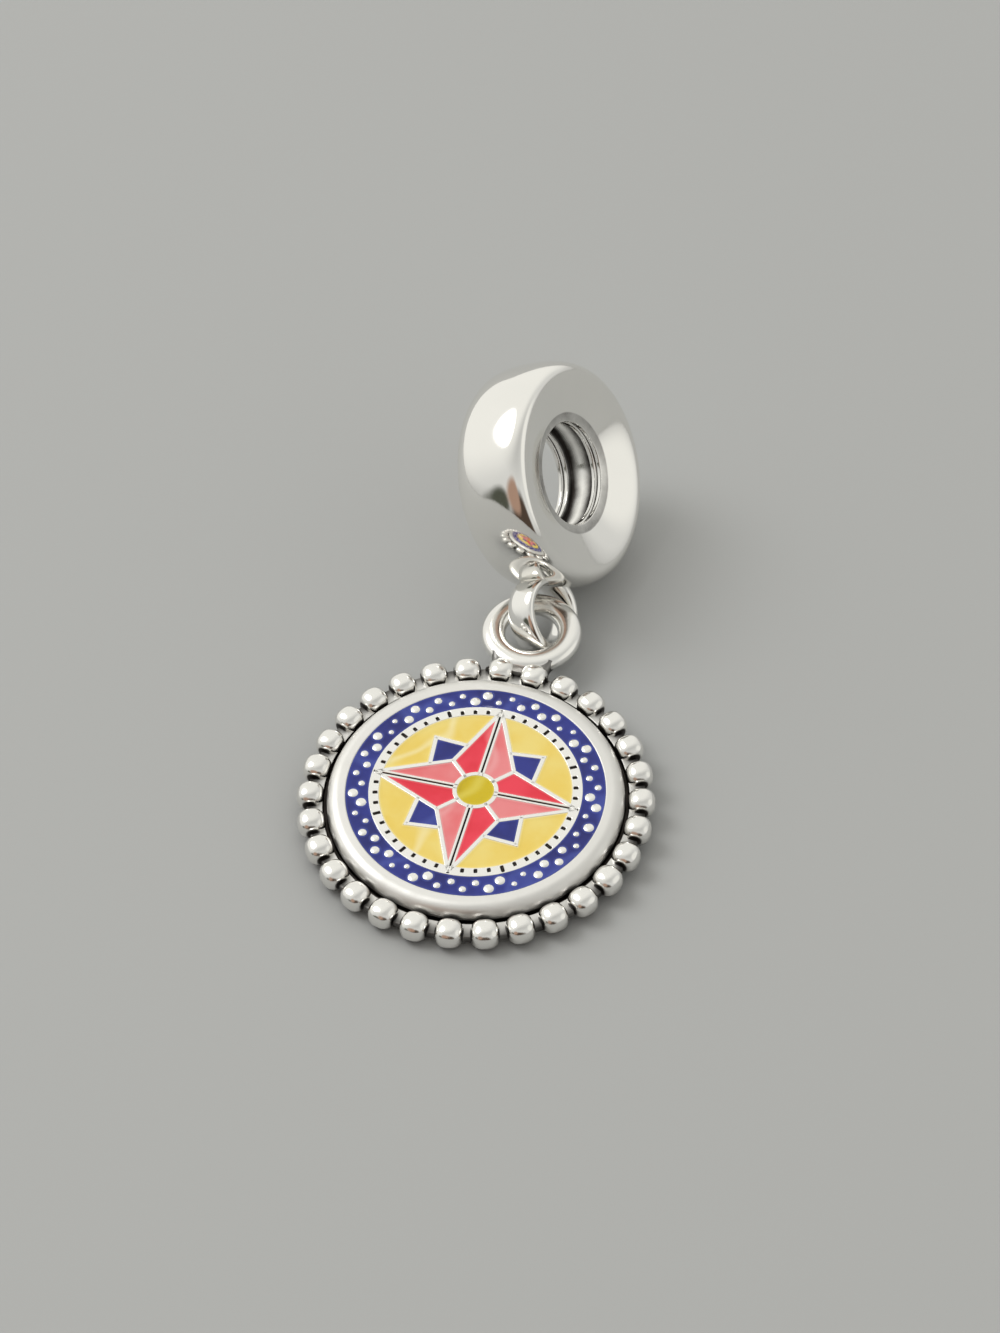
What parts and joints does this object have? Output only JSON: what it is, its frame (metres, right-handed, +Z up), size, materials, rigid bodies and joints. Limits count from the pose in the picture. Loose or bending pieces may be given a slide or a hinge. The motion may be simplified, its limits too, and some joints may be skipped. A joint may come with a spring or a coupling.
{
  "type": "dangle charm",
  "caption": "Dangle charm for a bracelet: a round bail bead with a grip-ridged bore, linked by a small loop to a round beaded medallion with an enamel compass star.",
  "frame": {"origin": "middle of the charm's footprint, on the table it lies on (middle of the bounding box's underside)", "axes": "+Z up from the table, +Y from the medallion towards the bail bead, +X to the right seen from above"},
  "size_m": [0.0146, 0.0272, 0.0095],
  "materials": {
    "silver_polished": "polished sterling silver, bright, with dark reflections",
    "silver_oxidised": "sterling silver, satin rim and bright border beads, blackened in the grooves",
    "enamel_navy": "glossy navy enamel",
    "enamel_sand": "glossy sand yellow enamel",
    "enamel_red": "glossy coral red enamel",
    "enamel_olive": "glossy olive yellow enamel"
  },
  "bodies": {
    "root": {"bail": "silver_polished", "medallion": "silver_oxidised", "enamel_band": "enamel_navy", "enamel_hub": "enamel_olive", "enamel_sand_1": "enamel_sand", "enamel_sand_2": "enamel_sand", "enamel_sand_3": "enamel_sand", "enamel_sand_4": "enamel_sand", "enamel_wedge_1": "enamel_navy", "enamel_wedge_2": "enamel_navy", "enamel_wedge_3": "enamel_navy", "enamel_wedge_4": "enamel_navy", "enamel_point_1": "enamel_red", "enamel_point_2": "enamel_red", "enamel_point_3": "enamel_red", "enamel_point_4": "enamel_red", "enamel_point_5": "enamel_red", "enamel_point_6": "enamel_red", "enamel_point_7": "enamel_red", "enamel_point_8": "enamel_red"}
  },
  "joints": []
}
